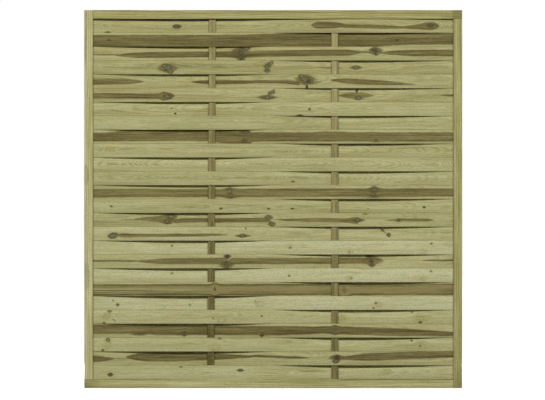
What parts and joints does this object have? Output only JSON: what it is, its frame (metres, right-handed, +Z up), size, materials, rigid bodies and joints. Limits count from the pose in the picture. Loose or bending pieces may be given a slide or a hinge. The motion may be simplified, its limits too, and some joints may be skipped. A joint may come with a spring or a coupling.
{
  "type": "slatted fence panel",
  "caption": "Square timber fence panel: thin horizontal slats woven past upright battens, their ends held in the groove of a square-section frame.",
  "frame": {"origin": "on the left stile's outer face, at half the panel's height and half its depth", "axes": "+X along the fence from the left post to the right one as seen from the front, -Y out of the front, +Z up"},
  "size_m": [1.8, 0.042, 1.8],
  "materials": {
    "frame_timber": "planed, preservative treated",
    "batten_timber": "planed, preservative treated",
    "slat_timber": "planed, preservative treated"
  },
  "bodies": {
    "root": {"left_stile": "frame_timber", "right_stile": "frame_timber", "top_rail": "frame_timber", "bottom_rail": "frame_timber", "left_batten": "batten_timber", "right_batten": "batten_timber", "slat_01": "slat_timber", "slat_02": "slat_timber", "slat_03": "slat_timber", "slat_04": "slat_timber", "slat_05": "slat_timber", "slat_06": "slat_timber", "slat_07": "slat_timber", "slat_08": "slat_timber", "slat_09": "slat_timber", "slat_10": "slat_timber", "slat_11": "slat_timber", "slat_12": "slat_timber", "slat_13": "slat_timber", "slat_14": "slat_timber", "slat_15": "slat_timber", "slat_16": "slat_timber", "slat_17": "slat_timber", "slat_18": "slat_timber", "slat_19": "slat_timber", "slat_20": "slat_timber", "slat_21": "slat_timber", "slat_22": "slat_timber", "slat_23": "slat_timber", "slat_24": "slat_timber", "slat_25": "slat_timber", "slat_26": "slat_timber"}
  },
  "joints": []
}
